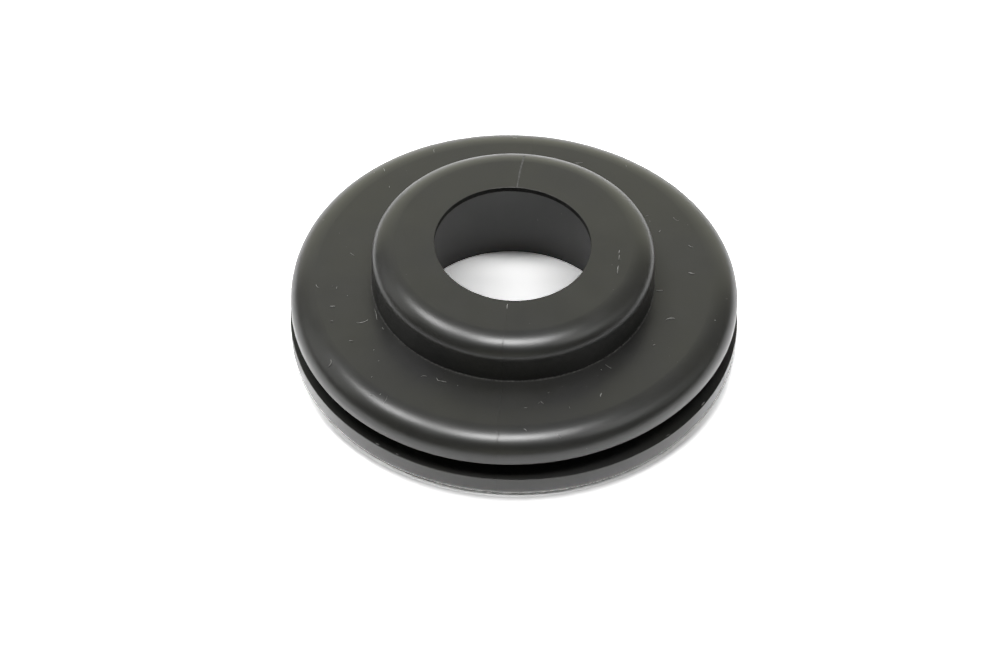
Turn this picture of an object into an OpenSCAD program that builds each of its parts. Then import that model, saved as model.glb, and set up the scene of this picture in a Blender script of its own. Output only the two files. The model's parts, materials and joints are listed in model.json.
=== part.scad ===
// Rubber grommet for a round panel hole, moulded in one piece.
// It is a solid of revolution about Z. It lies on its underside at z = 0, and the origin is the
// centre of that underside. From the bottom up it has a lower flange, a neck that fills the panel
// hole, an upper flange and a stepped hub. A chamber opens at the underside and ends under the
// hub's crown, where a thin sealing lip surrounds the hole for the cable or tube.

/* [Panel fit] */
// Diameter of the panel hole that the neck fills
panel_hole_d = 42; // [34:0.5:80]
// Width of the groove that grips the edge of the panel
groove_w = 2.2; // [1:0.1:6]

/* [Upper flange] */
// How far the upper flange overlaps the panel, all round
upper_overlap = 4; // [2.5:0.1:10]
// Thickness of the upper flange
upper_t = 3; // [2:0.1:6]
// Soft radius where the upper flange's top curves down to its rim
upper_soft = 3.6; // [2.1:0.1:6]
// Tight radius where the rim turns into its upright side
upper_tight = 2.1; // [0.5:0.1:2.1]

/* [Lower flange] */
// How far the lower flange overlaps the panel, all round
lower_overlap = 4.3; // [2.5:0.1:10]
// Thickness of the lower flange
lower_t = 2.6; // [1.5:0.1:6]
// Rounding of the lower flange's bottom edge
lower_round = 0.8; // [0.2:0.1:1.5]

/* [Hub] */
// Outer diameter of the hub
hub_d = 31.5; // [28:0.5:40]
// Height of the hub above the upper flange
hub_rise = 5.4; // [3:0.1:20]
// Soft radius where the crown curves down to its rim
hub_soft = 2.7; // [2.2:0.1:5]
// Tight radius where the crown's rim turns into the wall
hub_tight = 2.2; // [0.5:0.1:2.2]
// Fillet in the corner between the hub and the upper flange
hub_fillet = 0.15; // [0.05:0.05:1]

/* [Cable way] */
// Diameter of the hole in the crown
hole_d = 17.5; // [4:0.5:20]
// Thickness of the sealing lip at the hole
lip_t = 0.6; // [0.4:0.1:1.4]
// Thickness of the crown where it meets the chamber's wall
crown_t = 1.6; // [1.5:0.1:3]
// Diameter of the chamber
chamber_d = 24; // [20.5:0.5:28]
// Rounding of the chamber's inner corner under the crown
chamber_round = 1; // [0.2:0.1:1]

/* [Hidden] */
$fn = 180;

// Radii, from the outside in
lower_r = panel_hole_d / 2 + lower_overlap;
upper_r = panel_hole_d / 2 + upper_overlap;
neck_r = panel_hole_d / 2;
hub_r = hub_d / 2;
chamber_r = chamber_d / 2;
hole_r = hole_d / 2;

// Heights, from the underside up
upper_z = lower_t + groove_w;    // underside of the upper flange
hub_z = upper_z + upper_t;       // top of the upper flange
top_z = hub_z + hub_rise;        // top of the crown
ceiling_z = top_z - crown_t;     // ceiling of the chamber at its wall
lip_z = top_z - lip_t;           // underside of the lip at the hole

land = 0.4;         // straight wall that is left beside a rounding, at least
overshoot = 1;      // how far a cut runs past the surface that it opens
meet_sin = 0.6;     // sine and cosine of the slope at which a rim's soft arc meets its tight one
meet_cos = 0.8;

// Width and height of a rim of two arcs
function rim_w(soft, tight) = soft * meet_sin + tight * (1 - meet_sin);
function rim_h(soft, tight) = soft * (1 - meet_cos) + tight * meet_cos;

// Area that a rim leaves outside, between two walls that meet at the origin. The arc of radius tight
// touches the upright wall, and the arc of radius soft touches the level one.
module rim(soft, tight) {
    w = rim_w(soft, tight);
    h = rim_h(soft, tight);
    difference() {
        square([w, h]);
        translate([tight, h]) circle(tight);
        intersection() {
            translate([w, soft]) circle(soft);
            polygon([[w - soft * meet_sin / meet_cos, 0], [w, 0], [w, soft]]);
        }
    }
}

// Area between two walls that meet at the origin and the arc of radius r that touches them both.
module corner(r) {
    difference() {
        square(r);
        translate([r, r]) circle(r);
    }
}

// Half section of a disc of radius r and height h, with a plain rounding at its top.
module rounded_disc(r, h, edge_round) {
    difference() {
        square([r, h]);
        translate([r, h]) rotate(180) corner(min(edge_round, h - land));
    }
}

// Half section of a disc of radius r and height h, with a soft and a tight arc at its top. Both are
// made smaller where the disc is too thin for them.
module rimmed_disc(r, h, soft, tight) {
    fit = min(1, (h - land) / rim_h(soft, tight));
    difference() {
        square([r, h]);
        translate([r, h]) rotate(180) rim(soft * fit, tight * fit);
    }
}

// Lower flange, which holds the grommet in from behind the panel. Its bottom edge is rounded.
module lower_flange_section() {
    translate([0, lower_t]) mirror([0, 1]) rounded_disc(lower_r, lower_t, lower_round);
}

// Neck, which stands in the panel hole and is the floor of the groove.
module neck_section() {
    translate([0, lower_t]) square([neck_r, groove_w]);
}

// Upper flange, which seats on the outside of the panel.
module upper_flange_section() {
    translate([0, upper_z]) rimmed_disc(upper_r, upper_t, upper_soft, upper_tight);
}

// Hub, stepped up from the upper flange, with the fillet at its foot.
module hub_section() {
    translate([0, hub_z]) rimmed_disc(hub_r, hub_rise, hub_soft, hub_tight);
    translate([hub_r, hub_z]) corner(hub_fillet);
}

// Way for the cable or tube: the chamber, the ceiling that thins towards the lip, and the hole.
module cable_way_section() {
    translate([0, -overshoot]) rounded_disc(chamber_r, ceiling_z + overshoot, chamber_round);
    polygon([
        [0, ceiling_z],
        [chamber_r - chamber_round, ceiling_z],
        [hole_r, lip_z],
        [0, lip_z]
    ]);
    square([hole_r, top_z + overshoot]);
}

module grommet() {
    color("#2b2b29") rotate_extrude() difference() {
        union() {
            lower_flange_section();
            neck_section();
            upper_flange_section();
            hub_section();
        }
        cable_way_section();
    }
}

grommet();
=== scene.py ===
"""Moulded rubber grommet on a white table: its form, finish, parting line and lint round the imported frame."""
import json
import math
import random

import bmesh
import bpy
from mathutils import Matrix, Vector, noise


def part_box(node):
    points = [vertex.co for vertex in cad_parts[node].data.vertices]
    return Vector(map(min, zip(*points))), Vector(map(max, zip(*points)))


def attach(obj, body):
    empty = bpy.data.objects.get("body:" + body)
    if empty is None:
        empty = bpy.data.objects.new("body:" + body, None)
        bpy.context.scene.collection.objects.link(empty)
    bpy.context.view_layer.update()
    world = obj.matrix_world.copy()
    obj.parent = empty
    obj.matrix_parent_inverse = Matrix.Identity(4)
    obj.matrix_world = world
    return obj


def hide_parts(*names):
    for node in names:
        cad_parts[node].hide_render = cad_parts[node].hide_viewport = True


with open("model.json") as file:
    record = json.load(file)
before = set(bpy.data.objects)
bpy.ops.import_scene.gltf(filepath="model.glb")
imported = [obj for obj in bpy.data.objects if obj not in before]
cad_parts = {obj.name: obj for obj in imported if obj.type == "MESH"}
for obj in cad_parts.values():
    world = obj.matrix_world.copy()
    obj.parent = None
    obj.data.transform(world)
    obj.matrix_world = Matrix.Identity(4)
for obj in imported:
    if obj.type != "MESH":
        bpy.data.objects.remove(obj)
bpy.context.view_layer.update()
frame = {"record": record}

MM = 0.001

# ---------------------------------------------------------------- sizes, in millimetres
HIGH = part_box("grommet")[1]
HOLE = next(m for m in frame["record"]["mounts"] if m["name"] == "cable_hole")
LOWER_R = HIGH.x / MM
TOP_Z = HIGH.z / MM
HOLE_R = HOLE["dims"]["r_mm"]
LIP_Z = TOP_Z - HOLE["dims"]["length_mm"]
LOWER_T = 2.6
GROOVE_W = 2.2
UPPER_T = 3.0
CROWN_T = 1.6
UPPER_Z = LOWER_T + GROOVE_W
HUB_Z = UPPER_Z + UPPER_T
CEILING_Z = TOP_Z - CROWN_T
UPPER_R = 25.0
NECK_R = 21.0
HUB_R = 15.75
CHAMBER_R = 12.0
LOWER_ROUND = 0.8
UPPER_SOFT = 3.4
UPPER_TIGHT = 2.2
HUB_SOFT = 3.2
HUB_TIGHT = 1.8
HUB_FILLET = 0.15
CHAMBER_ROUND = 1.0
MEET_SIN = 0.6          # slope at which a rim's soft arc meets its tight one
MEET_COS = 0.8
EDGE = 0.06             # the slight rounding of a moulded edge that the CAD leaves sharp
CUT_INSET = EDGE / 4    # how far the lip's cut edge reaches into its roundings


def rim(r, z, soft, tight):
    """The two corners of a rim that curves softly over its top and tightly into its wall."""
    width = soft * MEET_SIN + tight * (1 - MEET_SIN)
    height = soft * (1 - MEET_COS) + tight * MEET_COS
    tilt = math.atan2(MEET_SIN, MEET_COS)
    return [
        (r - width + soft * math.tan(tilt / 2), z, soft),
        (r, z - height + tight * math.tan((math.pi / 2 - tilt) / 2), tight),
    ]


# Corners of the half section, from the lip outwards and round: radius, height, rounding
SECTION = [
    (HOLE_R, TOP_Z, EDGE),
    *rim(HUB_R, TOP_Z, HUB_SOFT, HUB_TIGHT),
    (HUB_R, HUB_Z, HUB_FILLET),
    *rim(UPPER_R, HUB_Z, UPPER_SOFT, UPPER_TIGHT),
    (UPPER_R, UPPER_Z, EDGE),
    (NECK_R, UPPER_Z, EDGE),
    (NECK_R, LOWER_T, EDGE),
    (LOWER_R, LOWER_T, EDGE),
    (LOWER_R, 0, LOWER_ROUND),
    (CHAMBER_R, 0, EDGE),
    (CHAMBER_R, CEILING_Z, CHAMBER_ROUND - EDGE),
    (CHAMBER_R - CHAMBER_ROUND, CEILING_Z, 0),
    (HOLE_R, LIP_Z, EDGE),
]
ARC_STEP = math.radians(9)
ARC_STEPS = 4           # fewest steps on an arc
SUPPORT = 0.03          # how near a rounding the next ring on a flat lies, so that the flat shades flat
LONGEST = 1.0           # longest step along a flat
SAME = 1e-4             # points nearer than this are one point

# How far the soft moulding is out of round: order, millimetres, azimuth where the radius is largest
HOLE_SHAPE = ((0, -0.04, 0), (1, 0.10, 152), (2, 0.10, 125))
UPPER_SHAPE = ((0, 0.13, 0), (1, 0.12, 77), (2, 0.07, 66), (3, 0.14, 6))
LOWER_ASIDE = 0.17
LOWER_OVAL = 0.08
LOWER_SHAPE = ((1, LOWER_ASIDE, 0), (2, LOWER_OVAL, 90))
CROWN_SHAPE = ((1, 0.24, 90), (2, -0.07, 90))   # the same for the height of the crown's rim
HOLE_SHAPE_REACH = 3.0      # how far into the crown the hole's shape is felt
FLANGE_SHAPE_REACH = 3.0    # how far out from the neck a flange takes on its shape
UNEVEN = ((5.0, 0.010), (1.8, 0.003), (0.9, 0.0015))   # wavelength and height of the skin's waves

# The mould's parting line: the azimuths where it crosses the part, in front and behind
PARTING = (-93.5, 86.7)
PARTING_HALF_WIDTH = 0.45       # degrees
PARTING_HEIGHT = 0.02
PARTING_EVEN = 0.6              # share of that height which is even along the line
PARTING_UNEVEN = 0.4            # share which comes and goes
PARTING_UNEVEN_RATE = 0.7       # waves of that per millimetre
PARTING_PALE_TO = 14.4          # radius at which the dust and painted highlight on it end
PARTING_WANDER = 0.9            # degrees to each side
PARTING_WANDER_RATE = 0.35      # waves of that per millimetre
PARTING_WANDER_AT = (7, 3)      # where in the noise it is read, on the other side for the front
PARTING_SLANT = -0.5            # degrees per millimetre, behind the hole
PARTING_PIVOT = CHAMBER_R       # radius where the slanted line has its azimuth
PARTING_BAND = 6.0              # degrees to each side over which the mesh follows the line
# The mesh's section lines: degrees from the parting line, and how many steps round the axis elsewhere
PARTING_LINES = (-2.0, -1.2, -0.7, -0.45, -0.25, -0.1, 0.0, 0.1, 0.25, 0.45, 0.7, 1.2, 2.0)
SEGMENTS = 384


# ---------------------------------------------------------------- camera
CAMERA_DISTANCE = 318.5
CAMERA_ELEVATION = math.radians(46.2)
CAMERA_ROLL = math.radians(-0.63)
AIM = Vector((-1.37, -1.25, 0))
LENS = 100.8
SENSOR = 36.0
NEAR = 10
FAR = 20000


def add_camera():
    """The photograph's view: from the front and above, a little off centre and slightly rolled."""
    place = CAMERA_DISTANCE * Vector((0, -math.cos(CAMERA_ELEVATION), math.sin(CAMERA_ELEVATION)))
    forward = (AIM - place).normalized()
    level = forward.cross(Vector((0, 0, 1))).normalized()
    upright = level.cross(forward)
    right = math.cos(CAMERA_ROLL) * level - math.sin(CAMERA_ROLL) * upright
    up = right.cross(forward)
    data = bpy.data.cameras.new("camera")
    data.lens = LENS
    data.sensor_width = SENSOR
    data.clip_start = NEAR * MM
    data.clip_end = FAR * MM
    camera = bpy.data.objects.new("camera", data)
    axes = Matrix((right, up, -forward)).transposed().to_4x4()
    camera.matrix_world = Matrix.Translation(place * MM) @ axes
    bpy.context.scene.collection.objects.link(camera)
    bpy.context.scene.camera = camera


# ---------------------------------------------------------------- form
def link(mesh, name):
    obj = bpy.data.objects.new(name, mesh)
    bpy.context.scene.collection.objects.link(obj)
    return obj


def closed_mesh(name, verts, faces):
    """A smooth mesh of the faces, all turned outwards."""
    mesh = bpy.data.meshes.new(name)
    mesh.from_pydata(verts, [], faces)
    bm = bmesh.new()
    bm.from_mesh(mesh)
    bmesh.ops.recalc_face_normals(bm, faces=bm.faces)
    bm.to_mesh(mesh)
    bm.free()
    mesh.shade_smooth()
    return mesh


def smooth(value, start, end):
    """0 at start, 1 at end, and level at both."""
    t = min(1, max(0, (value - start) / (end - start)))
    return t * t * (3 - 2 * t)


def rounded(corners):
    """The closed outline of the corners, as points: arcs at the roundings, and short steps beside them."""
    arcs = []
    for i, (r, z, rounding) in enumerate(corners):
        here = Vector((r, z))
        before = (Vector(corners[i - 1][:2]) - here).normalized()
        after = (Vector(corners[(i + 1) % len(corners)][:2]) - here).normalized()
        if rounding == 0:
            arcs.append([here])
            continue
        half = before.angle(after) / 2
        turn = math.pi - 2 * half
        centre = here + (before + after).normalized() * rounding / math.sin(half)
        start = here + before * rounding / math.tan(half)
        side = math.copysign(1, before.x * after.y - before.y * after.x)
        steps = max(ARC_STEPS, math.ceil(turn / ARC_STEP))
        arm = start - centre
        arcs.append([
            centre + Matrix.Rotation(-side * turn * k / steps, 2) @ arm
            for k in range(steps + 1)
        ])
    outline = []
    for i, arc in enumerate(arcs):
        outline += arc
        start, end = arc[-1], arcs[(i + 1) % len(arcs)][0]
        run = (end - start).length
        if run < SAME:
            outline.pop()
        if run < 3 * SUPPORT:
            continue
        middle = max(1, math.ceil((run - 2 * SUPPORT) / LONGEST))
        for k in range(middle + 1):
            along = SUPPORT + (run - 2 * SUPPORT) * k / middle
            outline.append(start.lerp(end, along / run))
    return outline


def outward(outline):
    """The outward direction at each point of an outline that runs clockwise round its section."""
    n = len(outline)
    normals = []
    for i in range(n):
        along = (outline[(i + 1) % n] - outline[i - 1]).normalized()
        normals.append(Vector((-along.y, along.x)))
    return normals


def azimuths():
    """Azimuths of the mesh's section lines in degrees: even, and closer across the parting line."""
    fine = [centre + step for centre in PARTING for step in PARTING_LINES]
    even = [360 * s / SEGMENTS - 180 for s in range(SEGMENTS)]
    clear = max(PARTING_LINES) + 180 / SEGMENTS
    return sorted(fine + [a for a in even if all(abs(a - centre) > clear for centre in PARTING)])


def swell(shape, azimuth):
    """How far a shape bulges at an azimuth."""
    return sum(size * math.cos(math.radians(order * (azimuth - widest))) for order, size, widest in shape)


def placed(r, z, azimuth):
    """The point of the real, slightly uneven moulding that stands for radius, height and azimuth."""
    if r > NECK_R:
        shape = LOWER_SHAPE if z < (LOWER_T + UPPER_Z) / 2 else UPPER_SHAPE
        r += smooth(r, NECK_R, NECK_R + FLANGE_SHAPE_REACH) * swell(shape, azimuth)
    elif r < HUB_R and z > HUB_Z:
        r += (1 - smooth(r, HOLE_R, HOLE_R + HOLE_SHAPE_REACH)) * swell(HOLE_SHAPE, azimuth)
    z += swell(CROWN_SHAPE, azimuth) * r / HUB_R * smooth(z, HUB_Z, TOP_Z)
    turn = math.radians(azimuth)
    return Vector((r * math.cos(turn), r * math.sin(turn), z))


def from_parting(azimuth):
    """Degrees to the nearer side of the parting line."""
    return min(abs(azimuth - centre) for centre in PARTING)


def parting(r, z, azimuth):
    """Height of the parting line's ridge, which comes and goes along its length and spares the chamber."""
    if r < CHAMBER_R + EDGE and z < LIP_Z:
        return 0
    wave = noise.noise(Vector((r * PARTING_UNEVEN_RATE, azimuth, 0)))
    strength = PARTING_EVEN + PARTING_UNEVEN * wave
    return PARTING_HEIGHT * strength * (1 - smooth(from_parting(azimuth), 0, PARTING_HALF_WIDTH))


def wandered(r, azimuth):
    """The azimuth, moved sideways near the parting line so that the ridge wanders."""
    place, depth = PARTING_WANDER_AT
    wave = noise.noise(Vector((r * PARTING_WANDER_RATE, math.copysign(place, azimuth), depth)))
    aside = PARTING_WANDER * wave
    if azimuth > 0:
        aside += PARTING_SLANT * (min(r, HUB_R) - PARTING_PIVOT)
    return azimuth + aside * (1 - smooth(from_parting(azimuth), 0, PARTING_BAND))


def uneven(point):
    """Height of the skin's waves at a point."""
    return sum(height * noise.noise(point / length) for length, height in UNEVEN)


def finish_of(middle, azimuth):
    """Material of a face: 0 for plain rubber, or the number of the dull finish that it has."""
    on_line = azimuth > 0 and from_parting(azimuth) < PARTING_HALF_WIDTH
    if middle.x < HOLE_R + CUT_INSET and LIP_Z < middle.y < TOP_Z - CUT_INSET:
        return 1
    # the corner at the hub's foot: dust with a painted highlight
    if abs(middle.x - HUB_R) < HUB_FILLET and 0 < middle.y - HUB_Z < HUB_FILLET:
        return 2
    # the parting line behind the hole: dust with a painted highlight
    if on_line and HOLE_R < middle.x < PARTING_PALE_TO and middle.y > LIP_Z:
        return 3
    return 0


def revolve(outline):
    """A mesh of the closed outline turned once about Z, with the moulding's small faults."""
    normals = outward(outline)
    turns = azimuths()
    n = len(outline)
    verts = []
    for azimuth in turns:
        for p, normal in zip(outline, normals):
            at = wandered(p.x, azimuth)
            lift = uneven(placed(p.x, p.y, at)) + parting(p.x, p.y, azimuth)
            lift *= smooth(p.y, 0, LOWER_ROUND)
            moved = p + normal * lift
            verts.append(placed(moved.x, moved.y, at) * MM)
    faces = []
    finishes = []
    for s in range(len(turns)):
        t = (s + 1) % len(turns)
        for i in range(n):
            j = (i + 1) % n
            faces.append((s * n + i, t * n + i, t * n + j, s * n + j))
            finishes.append(finish_of((outline[i] + outline[j]) / 2, (turns[s] + turns[t]) / 2))
    mesh = closed_mesh("grommet_body", verts, faces)
    mesh.polygons.foreach_set("material_index", finishes)
    return mesh


# ---------------------------------------------------------------- lint
LINT_SIDES = 5
LINT_STEPS = 6
FIBRE_LIFT = 0.7        # how far its middle lies above the skin, in its own radii
FIBRE_TIP = 0.35        # share of its radius that is left at its tips
BOLD = 0.05             # radius of the fibres that show clearly
FAINT = 0.03
FINE = 0.018
# Fibres that stand out: radius and azimuth of the middle, length, heading, bend, fibre radius
FIBRES = [
    (9.7, -93.5, 0.7, -92, 20, BOLD),
    (11.7, -6, 0.5, -100, 0, BOLD),
    (11.8, -10, 0.7, -95, 5, 1.2 * BOLD),
    (12.1, -19, 1.1, -95, 5, 1.3 * BOLD),
    (16.4, -6, 0.8, 0, 10, BOLD),
    (20.0, 3, 0.7, -12, 50, BOLD),
    (18.4, -19, 1.1, 5, -75, BOLD),
    (17.0, -52, 0.9, -40, 15, FINE),
    (18.3, 25, 0.3, 60, 0, BOLD),
    (20.7, 15, 0.6, -25, 40, FAINT),
    (18.5, -33, 0.3, 20, 0, BOLD),
    (19.1, -80, 0.5, -50, 30, FINE),
    (19.1, -81, 0.3, 60, 0, FINE),
    (17.8, -77, 0.3, 40, 0, FINE),
    (17.6, -117, 0.5, -65, 20, FAINT),
    (17.6, -115, 0.9, -15, -10, FAINT),
    (16.2, -158, 1.7, -80, -10, FAINT),
    (16.4, -150, 0.4, -60, 60, FAINT),
    (18.0, -156, 1.4, 25, 60, FAINT),
    (20.5, -166, 0.6, 5, 20, BOLD),
    (19.7, -174, 0.3, 80, 0, BOLD),
    (21.9, -175, 0.7, -50, 60, FAINT),
    (21.1, -160, 0.3, 0, 0, BOLD),
    (20.3, -150, 0.4, -10, 20, FAINT),
    (23.6, -146, 0.9, 80, 110, BOLD),
    (23.3, -130, 0.2, 0, 0, BOLD),
    (25.12, -125, 0.45, -35, 0, BOLD),
    (25.12, -119, 0.3, -29, 0, BOLD),
    (25.12, -47.5, 0.5, 42, 0, BOLD),
    (25.12, -33.5, 0.6, 57, 0, BOLD),
]
STRAYS = 34             # more fibres, scattered over the flange
STRAY_SEED = 7
STRAY_TO_RIM = 1.2      # how far their middles keep from the flange's rim
STRAY_TO_HUB = 1        # how far they keep from the hub's wall, beside their own length
STRAY_SHORTEST = 0.15
STRAY_SPREAD = 0.9      # how much longer the longest one is
STRAY_THINNEST = 0.5    # of a faint fibre's radius


def skin(outline, r):
    """Height of the moulding's upper surface at a radius."""
    return max(
        a.y + (b.y - a.y) * (r - a.x) / (b.x - a.x)
        for a, b in zip(outline, outline[1:])
        if a.x < r <= b.x
    )


def fibre(outline, r, azimuth, length, heading, bend, radius):
    """Points of a short curved tube that lies on the moulding, ring by ring."""
    turn = math.radians(azimuth)
    here = Vector((r * math.cos(turn), r * math.sin(turn)))
    step = length / LINT_STEPS
    path = [here]
    for k in range(LINT_STEPS):
        way = math.radians(heading + bend * (k / LINT_STEPS - 0.5))
        path.append(path[-1] + step * Vector((math.cos(way), math.sin(way))))
    path = [p - (path[LINT_STEPS // 2] - here) for p in path]
    rings = []
    for k, p in enumerate(path):
        ahead = (path[min(k + 1, LINT_STEPS)] - path[max(k - 1, 0)]).normalized()
        aside = Vector((-ahead.y, ahead.x, 0))
        around = p.length
        across = math.degrees(math.atan2(p.y, p.x))
        centre = placed(around, skin(outline, around), across) + Vector((0, 0, radius * FIBRE_LIFT))
        fullness = math.sin(math.pi * (k + 0.5) / (LINT_STEPS + 1))
        slim = radius * (FIBRE_TIP + (1 - FIBRE_TIP) * fullness)
        for s in range(LINT_SIDES):
            spin = 2 * math.pi * s / LINT_SIDES
            rings.append((centre + slim * (math.cos(spin) * aside + Vector((0, 0, math.sin(spin))))) * MM)
    return rings


def stray_fibres():
    """The scattered fibres, most of them tiny, and none where a step would cut through them."""
    draw = random.Random(STRAY_SEED)
    found = []
    while len(found) < STRAYS:
        r = draw.uniform(HUB_R, UPPER_R - STRAY_TO_RIM)
        length = STRAY_SHORTEST + STRAY_SPREAD * draw.random() ** 3
        azimuth = draw.uniform(-180, 180)
        heading = draw.uniform(-180, 180)
        bend = draw.uniform(-90, 90)
        if abs(r - HUB_R) > STRAY_TO_HUB + length:
            radius = draw.uniform(STRAY_THINNEST, 1) * FAINT
            found.append((r, azimuth, length, heading, bend, radius))
    return found


def lint(outline):
    """A mesh of all the fibres."""
    verts = []
    faces = []
    for row in FIBRES + stray_fibres():
        first = len(verts)
        verts += fibre(outline, *row)
        for k in range(LINT_STEPS):
            for s in range(LINT_SIDES):
                a = first + k * LINT_SIDES + s
                b = first + k * LINT_SIDES + (s + 1) % LINT_SIDES
                faces.append((a, b, b + LINT_SIDES, a + LINT_SIDES))
        last = first + LINT_STEPS * LINT_SIDES
        faces.append(tuple(range(first, first + LINT_SIDES)))
        faces.append(tuple(range(last, last + LINT_SIDES)))
    return closed_mesh("lint", verts, faces)


# ---------------------------------------------------------------- materials, with lengths in millimetres
OLIVE = (0.0285, 0.0287, 0.0252, 1)
SLATE = (0.0258, 0.0258, 0.0250, 1)
RUBBER_IOR = 1.52
SMOOTHEST = 0.285       # roughness of the skin
ROUGHEST = 0.335
COLOUR_WAVE = 9
GLOSS_WAVE = 3
PIT_WAVE = 0.16
PIT_DEPTH = 0.02
PIT_STRENGTH = 0.12
DUST = (0.16, 0.16, 0.15, 1)
SPECK_SPACING = 0.9
SPECK_RADIUS = 0.05
SPECK_SHARE = 0.12      # share of the places that hold one
# The dull finishes, in the order of finish_of: the lip's cut edge, the dust in the corner at the hub's
# foot, and the dust on the parting line behind the hole. Each has a darker and a lighter colour; on the
# corner and the parting line the lighter one is partly a painted highlight, as well as dust.
DULL_FINISHES = (
    ("rubber_cut", (0.016, 0.016, 0.015, 1), (0.026, 0.026, 0.024, 1)),
    ("rubber_dusty", (0.03, 0.03, 0.028, 1), (0.09, 0.09, 0.085, 1)),
    ("rubber_line", (0.06, 0.06, 0.057, 1), (0.115, 0.115, 0.11, 1)),
)
DULL_ROUGHNESS = 0.8
DULL_SPECULAR = 0.15
DULL_WAVE = 0.3
LINT_DARK = (0.16, 0.16, 0.15, 1)
LINT_PALE = (0.5, 0.5, 0.48, 1)
LINT_ROUGHNESS = 0.9
LINT_WAVE = 1.3
PLAIN_NOISE = (0.35, 0.65)      # between these lies most of the noise
FINE_NOISE = (0.3, 0.7)         # and most of the noise that has more detail
TABLE_PLAIN = 0.8
# Scale and shift that lay the lower flange's foot on a circle
LOWER_SCALE = ((LOWER_R + LOWER_OVAL) / (LOWER_R - LOWER_OVAL), 1, 1)
LOWER_SHIFT = (-LOWER_ASIDE * LOWER_SCALE[0], 0, 0)
# How bright the camera sees the table: by millimetres from the axis outside, a painted shadow round the
# lower flange's foot with painted light in the deep shade under its rounding, and by millimetres behind
# the axis inside the chamber, painted light and shade on the floor there
SEEN_FOOT_PAINTED_LIGHT_AND_SHADE = (
    (24.9, 4.5), (25.15, 3.0), (25.3, 1.45), (25.45, 0.9), (25.6, 0.92), (25.75, 1.05),
    (25.9, 1.4), (26.1, 1.7), (26.6, 2.0),
)
TABLE_SEEN_BESIDE = 2.0     # beside and behind the object, and between these Y a mix of both
BESIDE_FROM = -17
BESIDE_TO = -7
# painted light and shade on the chamber's floor, by millimetres behind the axis
SEEN_FLOOR_PAINTED_LIGHT_AND_SHADE = ((4, 1.72), (7.4, 1.83), (9, 2.2), (9.8, 2.5), (10.6, 2.85), (11.2, 2.3), (11.9, 1.05))
# How bright mirror rays see it, as painted light and shade in the rubber's reflections: by millimetres
# from the axis in front, behind, and inside the chamber
MIRRORED_PAINTED_LIGHT_AND_SHADE = (
    (24.5, 7), (25.6, 5), (25.9, 3.6), (26.3, 2.85), (26.65, 2.5), (27, 2.6), (30, 1.9),
    (45, 1.6), (60, 0.9), (90, 0.6),
)
# painted shade on the left of the table that the rubber reflects
LEFT_PAINTED_REFLECTION_SHADE = ((-26.6, 1), (-25.4, 0.6), (-24.7, 0.6), (-23.8, 1))     # times this, by X
BEHIND_MIRRORED = 1.35      # and between these Y a mix of both
BEHIND_FROM = -24
BEHIND_TO = 20
FLOOR_MIRRORED = 1.6


def new_material(name):
    material = bpy.data.materials.new(name)
    material.use_nodes = True
    tree = material.node_tree
    tree.nodes.clear()
    return material, tree


def principled(name):
    """A new material of one Principled shader, with its tree and that shader."""
    material, tree = new_material(name)
    out = tree.nodes.new("ShaderNodeOutputMaterial")
    shader = tree.nodes.new("ShaderNodeBsdfPrincipled")
    tree.links.new(shader.outputs["BSDF"], out.inputs["Surface"])
    return material, tree, shader


def in_millimetres(tree):
    """The object's own coordinates, in millimetres."""
    where = tree.nodes.new("ShaderNodeTexCoord")
    scale = tree.nodes.new("ShaderNodeVectorMath")
    scale.operation = "SCALE"
    scale.inputs["Scale"].default_value = 1 / MM
    tree.links.new(where.outputs["Object"], scale.inputs[0])
    return scale.outputs[0]


def waves(tree, where, length, detail=2.0):
    """Noise of a wavelength in millimetres."""
    texture = tree.nodes.new("ShaderNodeTexNoise")
    texture.inputs["Scale"].default_value = 1 / length
    texture.inputs["Detail"].default_value = detail
    tree.links.new(where, texture.inputs["Vector"])
    return texture.outputs["Fac"]


def remap(tree, value, low, high, to_low, to_high):
    node = tree.nodes.new("ShaderNodeMapRange")
    node.inputs["From Min"].default_value = low
    node.inputs["From Max"].default_value = high
    node.inputs["To Min"].default_value = to_low
    node.inputs["To Max"].default_value = to_high
    tree.links.new(value, node.inputs["Value"])
    return node.outputs[0]


def ramp(tree, value, stops):
    """A curve through (value, result) stops, which lie in order, with straight runs between them."""
    low, high = stops[0][0], stops[-1][0]
    most = max(result for _, result in stops)
    node = tree.nodes.new("ShaderNodeValToRGB")
    elements = node.color_ramp.elements
    while len(elements) < len(stops):
        elements.new(1.0)
    for element, (at, result) in zip(elements, stops):
        element.position = (at - low) / (high - low)
        element.color = (result / most,) * 3 + (1,)
    tree.links.new(remap(tree, value, low, high, 0, 1), node.inputs[0])
    scale = tree.nodes.new("ShaderNodeMath")
    scale.operation = "MULTIPLY"
    scale.inputs[1].default_value = most
    tree.links.new(node.outputs[0], scale.inputs[0])
    return scale.outputs[0]


def multiply(tree, a, b):
    node = tree.nodes.new("ShaderNodeMath")
    node.operation = "MULTIPLY"
    tree.links.new(a, node.inputs[0])
    tree.links.new(b, node.inputs[1])
    return node.outputs[0]


def below(tree, value, limit):
    """1 where the value is less than the limit, and 0 elsewhere."""
    node = tree.nodes.new("ShaderNodeMath")
    node.operation = "LESS_THAN"
    node.inputs[1].default_value = limit
    tree.links.new(value, node.inputs[0])
    return node.outputs[0]


def specks(tree, where, spacing, radius, share):
    """1 in sparse round specks: a share of the places that lie about this far apart hold one."""
    texture = tree.nodes.new("ShaderNodeTexVoronoi")
    texture.inputs["Scale"].default_value = 1 / spacing
    tree.links.new(where, texture.inputs["Vector"])
    near = remap(tree, texture.outputs["Distance"], radius / spacing, 0.5 * radius / spacing, 0, 1)
    split = tree.nodes.new("ShaderNodeSeparateColor")
    tree.links.new(texture.outputs["Color"], split.inputs[0])
    return multiply(tree, near, below(tree, split.outputs[0], share))


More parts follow.
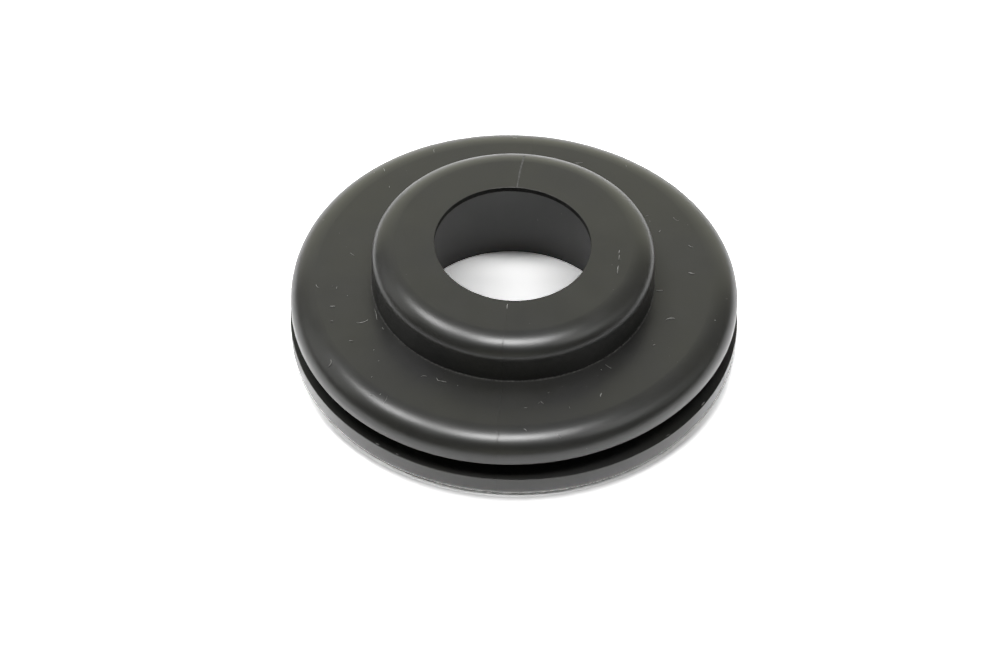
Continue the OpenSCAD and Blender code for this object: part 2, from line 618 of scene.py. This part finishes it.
def mix_colours(tree, factor, a, b):
    node = tree.nodes.new("ShaderNodeMix")
    node.data_type = "RGBA"
    tree.links.new(factor, node.inputs["Factor"])
    for colour, socket in ((a, node.inputs[6]), (b, node.inputs[7])):
        if isinstance(colour, tuple):
            socket.default_value = colour
        else:
            tree.links.new(colour, socket)
    return node.outputs[2]


def rubber():
    """Black rubber with a soft satin skin: cloudy in colour and gloss, finely pitted, and dusty."""
    material, tree, shader = principled("rubber")
    links = tree.links
    shader.inputs["IOR"].default_value = RUBBER_IOR
    where = in_millimetres(tree)
    dust = specks(tree, where, SPECK_SPACING, SPECK_RADIUS, SPECK_SHARE)
    cloud = remap(tree, waves(tree, where, COLOUR_WAVE), *PLAIN_NOISE, 0, 1)
    skin_colour = mix_colours(tree, cloud, OLIVE, SLATE)
    links.new(mix_colours(tree, dust, skin_colour, DUST), shader.inputs["Base Color"])
    roughness = remap(tree, waves(tree, where, GLOSS_WAVE, 4), *FINE_NOISE, SMOOTHEST, ROUGHEST)
    links.new(roughness, shader.inputs["Roughness"])
    bump = tree.nodes.new("ShaderNodeBump")
    bump.inputs["Strength"].default_value = PIT_STRENGTH
    bump.inputs["Distance"].default_value = PIT_DEPTH * MM
    links.new(waves(tree, where, PIT_WAVE, 3), bump.inputs["Height"])
    links.new(bump.outputs[0], shader.inputs["Normal"])
    return material


def dull_rubber(name, dark, light):
    """The same rubber where a cut or dust makes it dull, grained between two colours, the lighter of which
    is partly a painted highlight in the dusty corner and on the parting line.
    """
    material, tree, shader = principled(name)
    shader.inputs["Roughness"].default_value = DULL_ROUGHNESS
    shader.inputs["Specular IOR Level"].default_value = DULL_SPECULAR
    grain = remap(tree, waves(tree, in_millimetres(tree), DULL_WAVE, 3), *FINE_NOISE, 0, 1)
    tree.links.new(mix_colours(tree, grain, dark, light), shader.inputs["Base Color"])
    return material


def lint_material():
    """Pale textile dust, a little different from one place to the next."""
    material, tree, shader = principled("lint")
    shader.inputs["Roughness"].default_value = LINT_ROUGHNESS
    shade = remap(tree, waves(tree, in_millimetres(tree), LINT_WAVE), *PLAIN_NOISE, 0, 1)
    tree.links.new(mix_colours(tree, shade, LINT_DARK, LINT_PALE), shader.inputs["Base Color"])
    return material


def grey(tone):
    """The colour of a grey tone."""
    return (tone, tone, tone, 1)


def diffuse(tree, tone):
    """A diffuse shader of a grey tone, which is a number or a socket."""
    shader = tree.nodes.new("ShaderNodeBsdfDiffuse")
    if isinstance(tone, float):
        shader.inputs["Color"].default_value = grey(tone)
    else:
        tree.links.new(tone, shader.inputs["Color"])
    return shader.outputs[0]


def from_foot(tree, where):
    """Millimetres from the axis, once the lower flange's foot is laid on a circle."""
    shaped = tree.nodes.new("ShaderNodeVectorMath")
    shaped.operation = "MULTIPLY_ADD"
    shaped.inputs[1].default_value = LOWER_SCALE
    shaped.inputs[2].default_value = LOWER_SHIFT
    tree.links.new(where, shaped.inputs[0])
    reach = tree.nodes.new("ShaderNodeVectorMath")
    reach.operation = "LENGTH"
    tree.links.new(shaped.outputs[0], reach.inputs[0])
    return reach.outputs["Value"]


def table_material():
    """White table that keeps the shadow, though camera and mirror rays see it overexposed, and with
    painted light and shade round the foot, on the chamber's floor and in the rubber's reflections.
    """
    material, tree = new_material("table")
    nodes, links = tree.nodes, tree.links
    out = nodes.new("ShaderNodeOutputMaterial")
    path = nodes.new("ShaderNodeLightPath")
    split = nodes.new("ShaderNodeSeparateXYZ")
    where = in_millimetres(tree)
    links.new(where, split.inputs[0])
    reach = from_foot(tree, where)
    inside = below(tree, reach, NECK_R)
    behind = remap(tree, split.outputs["Y"], BEHIND_FROM, BEHIND_TO, 0, 1)
    # what mirror rays see: painted light and shade by the distance from the foot, and painted shade on the left
    around = mix_colours(tree, behind, ramp(tree, reach, MIRRORED_PAINTED_LIGHT_AND_SHADE), grey(BEHIND_MIRRORED))
    around = multiply(tree, around, ramp(tree, split.outputs["X"], LEFT_PAINTED_REFLECTION_SHADE))
    mirrored = mix_colours(tree, inside, around, grey(FLOOR_MIRRORED))
    beside = remap(tree, split.outputs["Y"], BESIDE_FROM, BESIDE_TO, 0, 1)
    # in front, a painted shadow round the foot with painted light under its rounding; beside and behind, even
    open_table = mix_colours(tree, beside, ramp(tree, reach, SEEN_FOOT_PAINTED_LIGHT_AND_SHADE), grey(TABLE_SEEN_BESIDE))
    # inside the chamber, painted light and shade on the floor
    seen = mix_colours(tree, inside, open_table, ramp(tree, split.outputs["Y"], SEEN_FLOOR_PAINTED_LIGHT_AND_SHADE))
    shown = diffuse(tree, TABLE_PLAIN)
    for rays, tone in (
        ("Is Transmission Ray", seen),
        ("Is Glossy Ray", mirrored),
        ("Is Camera Ray", seen),
    ):
        mix = nodes.new("ShaderNodeMixShader")
        links.new(path.outputs[rays], mix.inputs["Fac"])
        links.new(shown, mix.inputs[1])
        links.new(diffuse(tree, tone), mix.inputs[2])
        shown = mix.outputs[0]
    links.new(shown, out.inputs["Surface"])
    return material


# ---------------------------------------------------------------- surroundings
TABLE_HALF = 3000
# How bright the surroundings are to matt rays and to mirror rays, by the Y part of a direction: the room
# is in front, the backdrop behind
ROOM_LIGHT = ((-1, 0.04), (0.42, 0.1), (0.6, 0.75), (0.7, 1.25), (0.8, 1.85), (1, 2.5))
ROOM_MIRRORED = (
    (-1, 0.75), (-0.97, 0.5), (-0.9, 0.25), (-0.8, 0.1), (-0.6, 0.07), (0, 0.1), (0.55, 0.06),
    (0.64, 0), (0.66, 0), (0.68, 0.36), (0.7, 0.78), (0.74, 1.08), (0.8, 1.12), (0.9, 1.08),
    (0.97, 1.9), (1, 0.8),
)
# Colour of what the gloss shows, by the Z part of a direction
LOW_TINT = (1.0, 1.0, 0.8, 1)
HIGH_TINT = (1.0, 1.0, 1.04, 1)
TINT_FROM = 0.72
TINT_TO = 0.95
WHITE = (1.0, 1.0, 1.0, 1)
# Softboxes, which all face the origin: name, place, width, depth, radiance and whether the gloss alone
# sees it. The first two light the rubber and the table, and the others are what the gloss shows.
SOFTBOXES = (
    ("key", (-50, -115, 700), 770, 190, 6.8, False),
    ("rear", (-120, 330, 600), 500, 300, 6.2, False),
    ("sheen_right", (4, -125, 700), 308, 190, 24.5, True),
    ("sheen_left", (-325, 55, 700), 150, 230, 22.0, True),
    ("fill_right", (450, -250, 600), 350, 350, 1.8, True),
    ("side_left", (-700, 150, 430), 500, 500, 1.0, True),
    ("side_right", (700, -60, 380), 400, 400, 0.5, True),
)


def add_table():
    mesh = bpy.data.meshes.new("table")
    half = TABLE_HALF * MM
    corners = [(-half, -half, 0), (half, -half, 0), (half, half, 0), (-half, half, 0)]
    mesh.from_pydata(corners, [], [(0, 1, 2, 3)])
    table = link(mesh, "table")
    mesh.materials.append(table_material())


def add_softbox(name, place, width, depth, radiance, gloss_only):
    """An area lamp that faces the origin, level from left to right."""
    data = bpy.data.lights.new(name, "AREA")
    data.shape = "RECTANGLE"
    data.size = width * MM
    data.size_y = depth * MM
    data.energy = radiance * math.pi * width * depth * MM * MM
    light = bpy.data.objects.new(name, data)
    light.location = Vector(place) * MM
    back = Vector(place).normalized()
    across = (Vector((1, 0, 0)) - back.x * back).normalized()
    light.rotation_mode = "QUATERNION"
    light.rotation_quaternion = Matrix((across, back.cross(across), back)).transposed().to_quaternion()
    light.visible_diffuse = not gloss_only
    light.visible_glossy = gloss_only
    light.visible_camera = False
    bpy.context.scene.collection.objects.link(light)


def add_world():
    """White backdrop behind the object, and a darker room on the near side of it."""
    world = bpy.data.worlds.new("studio")
    bpy.context.scene.world = world
    world.use_nodes = True
    tree = world.node_tree
    tree.nodes.clear()
    nodes, links = tree.nodes, tree.links
    out = nodes.new("ShaderNodeOutputWorld")
    background = nodes.new("ShaderNodeBackground")
    links.new(background.outputs[0], out.inputs["Surface"])
    path = nodes.new("ShaderNodeLightPath")
    where = nodes.new("ShaderNodeTexCoord")
    split = nodes.new("ShaderNodeSeparateXYZ")
    links.new(where.outputs["Generated"], split.inputs[0])
    light = ramp(tree, split.outputs["Y"], ROOM_LIGHT)
    mirrored = ramp(tree, split.outputs["Y"], ROOM_MIRRORED)
    by_ray = mix_colours(tree, path.outputs["Is Glossy Ray"], light, mirrored)
    links.new(mix_colours(tree, path.outputs["Is Camera Ray"], by_ray, WHITE), background.inputs["Strength"])
    upwards = remap(tree, split.outputs["Z"], TINT_FROM, TINT_TO, 0, 1)
    tint = mix_colours(tree, upwards, LOW_TINT, HIGH_TINT)
    links.new(mix_colours(tree, path.outputs["Is Glossy Ray"], WHITE, tint), background.inputs["Color"])


# ---------------------------------------------------------------- scene
add_camera()
add_table()
add_world()
for softbox in SOFTBOXES:
    add_softbox(*softbox)

outline = rounded(SECTION)
body = link(revolve(outline), "grommet_body")
body.data.materials.append(rubber())
for name, dark, light in DULL_FINISHES:
    body.data.materials.append(dull_rubber(name, dark, light))
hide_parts("grommet")
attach(body, "root")

fibres = link(lint(outline), "lint")
fibres.data.materials.append(lint_material())
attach(fibres, "root")

bpy.context.scene.view_settings.view_transform = "Standard"
